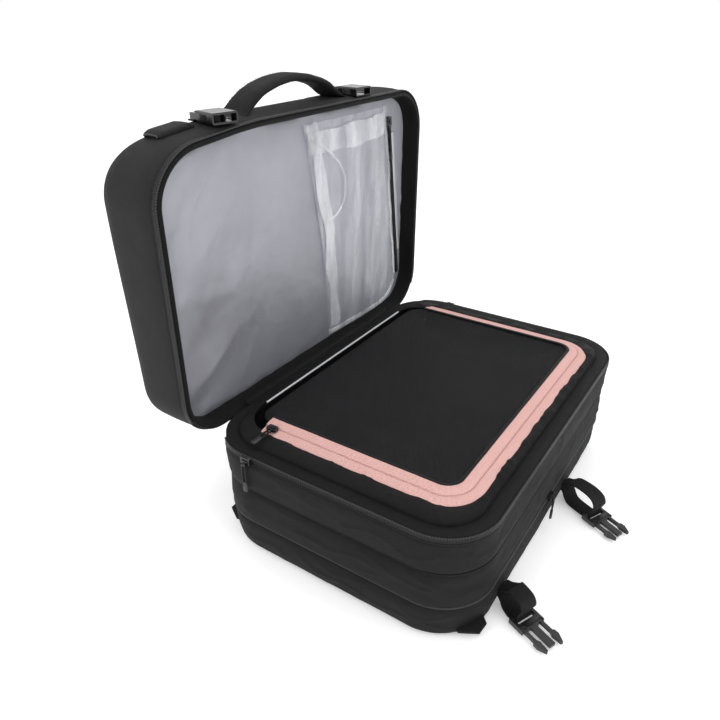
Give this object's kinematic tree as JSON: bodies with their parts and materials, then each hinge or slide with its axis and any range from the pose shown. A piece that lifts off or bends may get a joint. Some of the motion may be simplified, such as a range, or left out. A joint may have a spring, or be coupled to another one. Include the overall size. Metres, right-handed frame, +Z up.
{
  "type": "travel backpack",
  "caption": "Clamshell travel backpack lying open: lid with clear wet pocket, mesh-covered main compartment, laptop sleeve, side-release compression straps, handles and stowed shoulder straps.",
  "frame": {"origin": "centre of the contact face that the back rests on, under the middle of the body", "axes": "+Z up from the back panel to the lid side, +X from the lid's hinge towards the buckle side, +Y from the pack's base to its top"},
  "size_m": [0.4714, 0.4853, 0.4573],
  "materials": {
    "shell_fabric": "matt woven polyester",
    "lid_fabric": "matt woven polyester",
    "trim_fabric": "binding and piping",
    "lining": "satin",
    "webbing": "ribbed webbing",
    "pink_tape": "soft zip tape",
    "mesh": "open mesh",
    "zip_tape": "coated zip tape",
    "foam_pad": "air mesh over foam",
    "clear_film": "clear glossy film",
    "buckle_plastic": "gloss",
    "slider_metal": "black nickel",
    "pull_cord": "coated cord",
    "frame_board": "sheet"
  },
  "bodies": {
    "main_body": {"back_pads": "foam_pad", "back_panel": "foam_pad", "frame_sheet": "frame_board", "lower_band": "shell_fabric", "middle_band": "shell_fabric", "upper_band": "shell_fabric", "laptop_divider": "lining", "main_liner": "lining", "rim_lip": "shell_fabric", "rim_border": "shell_fabric", "laptop_zip_tape": "zip_tape", "gusset_piping": "trim_fabric", "main_zip_tape_body": "zip_tape", "mesh_zip_tape_body": "pink_tape", "hinge_piping": "trim_fabric", "flap_hinge_binding": "trim_fabric", "shoulder_strap_left": "foam_pad", "shoulder_strap_right": "foam_pad", "strap_lower_webbing": "webbing", "strap_ladder_locks": "buckle_plastic", "strap_wings": "lid_fabric", "top_handle_anchors": "webbing"},
    "top_handle": {"top_handle": "lid_fabric"},
    "mesh_flap": {"mesh_panel": "mesh", "mesh_zip_tape_flap": "pink_tape"},
    "lid": {"lid_face": "lid_fabric", "lid_wall": "lid_fabric", "lid_rim_band": "lid_fabric", "lid_lining": "lining", "main_zip_tape_lid": "zip_tape", "wet_pocket_film": "clear_film", "wet_pocket_zip_tape": "zip_tape", "side_handle_anchors": "webbing", "strap_keeper": "webbing", "front_zip_tape": "zip_tape", "female_webbing_near": "webbing", "female_webbing_far": "webbing"},
    "side_handle": {"side_handle": "lid_fabric"},
    "compression_strap_near": {"compression_webbing_near": "webbing", "male_buckle_near": "buckle_plastic"},
    "buckle_prong_near_left": {"buckle_prong_near_left": "buckle_plastic"},
    "buckle_prong_near_right": {"buckle_prong_near_right": "buckle_plastic"},
    "female_buckle_near": {"female_buckle_near": "buckle_plastic"},
    "compression_strap_far": {"compression_webbing_far": "webbing", "male_buckle_far": "buckle_plastic"},
    "buckle_prong_far_left": {"buckle_prong_far_left": "buckle_plastic"},
    "buckle_prong_far_right": {"buckle_prong_far_right": "buckle_plastic"},
    "female_buckle_far": {"female_buckle_far": "buckle_plastic"},
    "main_near_slider": {"main_near_slider": "slider_metal"},
    "main_near_pull": {"main_near_pull": "pull_cord"},
    "main_far_slider": {"main_far_slider": "slider_metal"},
    "main_far_pull": {"main_far_pull": "pull_cord"},
    "mesh_slider": {"mesh_slider": "slider_metal"},
    "mesh_pull": {"mesh_pull": "pull_cord"},
    "laptop_slider": {"laptop_slider": "slider_metal"},
    "laptop_pull": {"laptop_pull": "pull_cord"},
    "wet_pocket_slider": {"wet_pocket_slider": "slider_metal"},
    "wet_pocket_pull": {"wet_pocket_pull": "pull_cord"},
    "front_pocket_slider": {"front_pocket_slider": "slider_metal"},
    "front_pocket_pull": {"front_pocket_pull": "pull_cord"}
  },
  "joints": [
    {"name": "lid_hinge", "type": "hinge", "parent": "main_body", "child": "lid", "pos_m": [-0.1505, 0, 0.1255], "axis": [0, -1, 0], "range_deg": [-90, 25]},
    {"name": "mesh_flap_hinge", "type": "hinge", "parent": "main_body", "child": "mesh_flap", "pos_m": [-0.1338, 0, 0.13725], "axis": [0, -1, 0], "range_deg": [0, 80]},
    {"name": "side_handle_swing", "type": "hinge", "parent": "lid", "child": "side_handle", "pos_m": [-0.195, -0.008, 0.4273], "axis": [0, 1, 0], "range_deg": [-25, 25]},
    {"name": "top_handle_swing", "type": "hinge", "parent": "main_body", "child": "top_handle", "pos_m": [0, 0.2203, 0.0635], "axis": [1, 0, 0], "range_deg": [-20, 20]},
    {"name": "compression_strap_near_swing", "type": "hinge", "parent": "main_body", "child": "compression_strap_near", "pos_m": [0.1585, -0.137, 0.02], "axis": [-0.4067, -0.9135, 0], "range_deg": [0, 30]},
    {"name": "buckle_prong_near_left_flex", "type": "hinge", "parent": "compression_strap_near", "child": "buckle_prong_near_left", "pos_m": [0.19871, -0.1433, 0.005], "axis": [0, 0, -1], "range_deg": [0, 9], "stiffness_Nm_per_rad": 0.5},
    {"name": "buckle_prong_near_right_flex", "type": "hinge", "parent": "compression_strap_near", "child": "buckle_prong_near_right", "pos_m": [0.19009, -0.16267, 0.005], "axis": [0, 0, 1], "range_deg": [0, 9], "stiffness_Nm_per_rad": 0.5},
    {"name": "female_buckle_near_swing", "type": "hinge", "parent": "lid", "child": "female_buckle_near", "pos_m": [-0.2, -0.126, 0.433], "axis": [-0.2079, -0.9781, 0], "range_deg": [0, 95]},
    {"name": "compression_strap_far_swing", "type": "hinge", "parent": "main_body", "child": "compression_strap_far", "pos_m": [0.1585, 0.054, 0.02], "axis": [-0.4384, -0.8988, 0], "range_deg": [0, 30]},
    {"name": "buckle_prong_far_left_flex", "type": "hinge", "parent": "compression_strap_far", "child": "buckle_prong_far_left", "pos_m": [0.21375, 0.03885, 0.005], "axis": [0, 0, -1], "range_deg": [0, 9], "stiffness_Nm_per_rad": 0.5},
    {"name": "buckle_prong_far_right_flex", "type": "hinge", "parent": "compression_strap_far", "child": "buckle_prong_far_right", "pos_m": [0.20446, 0.01979, 0.005], "axis": [0, 0, 1], "range_deg": [0, 9], "stiffness_Nm_per_rad": 0.5},
    {"name": "female_buckle_far_swing", "type": "hinge", "parent": "lid", "child": "female_buckle_far", "pos_m": [-0.2, 0.102, 0.433], "axis": [-0.0698, -0.9976, 0], "range_deg": [0, 95]},
    {"name": "main_near_slider_travel", "type": "slide", "parent": "main_body", "child": "main_near_slider", "axis": [1, 0, 0], "range_m": [0, 0.184]},
    {"name": "main_near_pull_swing", "type": "hinge", "parent": "main_near_slider", "child": "main_near_pull", "pos_m": [-0.092, -0.229, 0.1241], "axis": [-1, 0, 0], "range_deg": [0, 80]},
    {"name": "main_far_slider_travel", "type": "slide", "parent": "main_body", "child": "main_far_slider", "axis": [1, 0, 0], "range_m": [0, 0.184]},
    {"name": "main_far_pull_swing", "type": "hinge", "parent": "main_far_slider", "child": "main_far_pull", "pos_m": [-0.092, 0.229, 0.1241], "axis": [1, 0, 0], "range_deg": [0, 80]},
    {"name": "mesh_slider_travel", "type": "slide", "parent": "main_body", "child": "mesh_slider", "axis": [1, 0, 0], "range_m": [0, 0.184]},
    {"name": "mesh_pull_swing", "type": "hinge", "parent": "mesh_slider", "child": "mesh_pull", "pos_m": [-0.092, -0.1885, 0.1413], "axis": [-1, 0, 0], "range_deg": [0, 80]},
    {"name": "laptop_slider_travel", "type": "slide", "parent": "main_body", "child": "laptop_slider", "axis": [0, 1, 0], "range_m": [-0.085, 0.035]},
    {"name": "laptop_pull_swing", "type": "hinge", "parent": "laptop_slider", "child": "laptop_pull", "pos_m": [0.16, -0.008, 0.0404], "axis": [0, -1, 0], "range_deg": [0, 80]},
    {"name": "wet_pocket_slider_travel", "type": "slide", "parent": "lid", "child": "wet_pocket_slider", "axis": [0, 0.1439, -0.9896], "range_m": [0, 0.165]},
    {"name": "wet_pocket_pull_swing", "type": "hinge", "parent": "wet_pocket_slider", "child": "wet_pocket_pull", "pos_m": [-0.1757, 0.17813, 0.38028], "axis": [0, -0.9895, -0.1444], "range_deg": [0, 80]},
    {"name": "front_pocket_slider_travel", "type": "slide", "parent": "lid", "child": "front_pocket_slider", "axis": [0, -1, 0], "range_m": [0, 0.3]},
    {"name": "front_pocket_pull_swing", "type": "hinge", "parent": "front_pocket_slider", "child": "front_pocket_pull", "pos_m": [-0.2293, 0.15, 0.3462], "axis": [0, 1, 0], "range_deg": [0, 80]}
  ],
  "couplings": [
    {"joint": "buckle_prong_near_right_flex", "follows": "buckle_prong_near_left_flex", "ratio": 1},
    {"joint": "buckle_prong_far_right_flex", "follows": "buckle_prong_far_left_flex", "ratio": 1}
  ]
}
